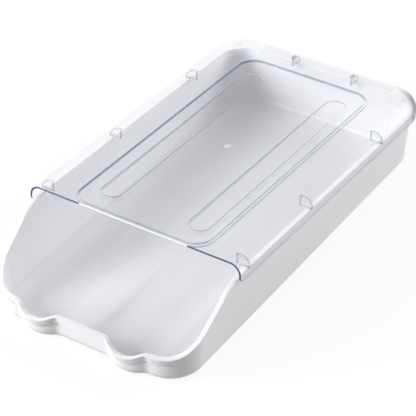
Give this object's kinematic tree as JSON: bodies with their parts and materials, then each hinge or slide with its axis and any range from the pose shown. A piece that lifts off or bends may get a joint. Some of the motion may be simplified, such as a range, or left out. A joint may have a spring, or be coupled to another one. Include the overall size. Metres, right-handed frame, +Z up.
{
  "type": "egg holder",
  "caption": "Low two-lane roll-down egg holder: a drafted white tray with an open scalloped front and a clear lift-off lid.",
  "frame": {"origin": "centre of the closed object's bounding box at table level, under the ridge between the two lanes", "axes": "+X across the lanes, -Y towards the open scalloped front, +Z up"},
  "size_m": [0.17, 0.324, 0.068],
  "materials": {
    "white_plastic": "smooth satin moulding",
    "clear_plastic": "clear, polished"
  },
  "bodies": {
    "tray_body": {"tray": "white_plastic"},
    "lid_body": {"lid": "clear_plastic"}
  },
  "joints": [
    {"name": "lid_lift", "type": "slide", "parent": "tray_body", "child": "lid_body", "axis": [0, 0, 1], "range_m": [0, 0.04]}
  ]
}
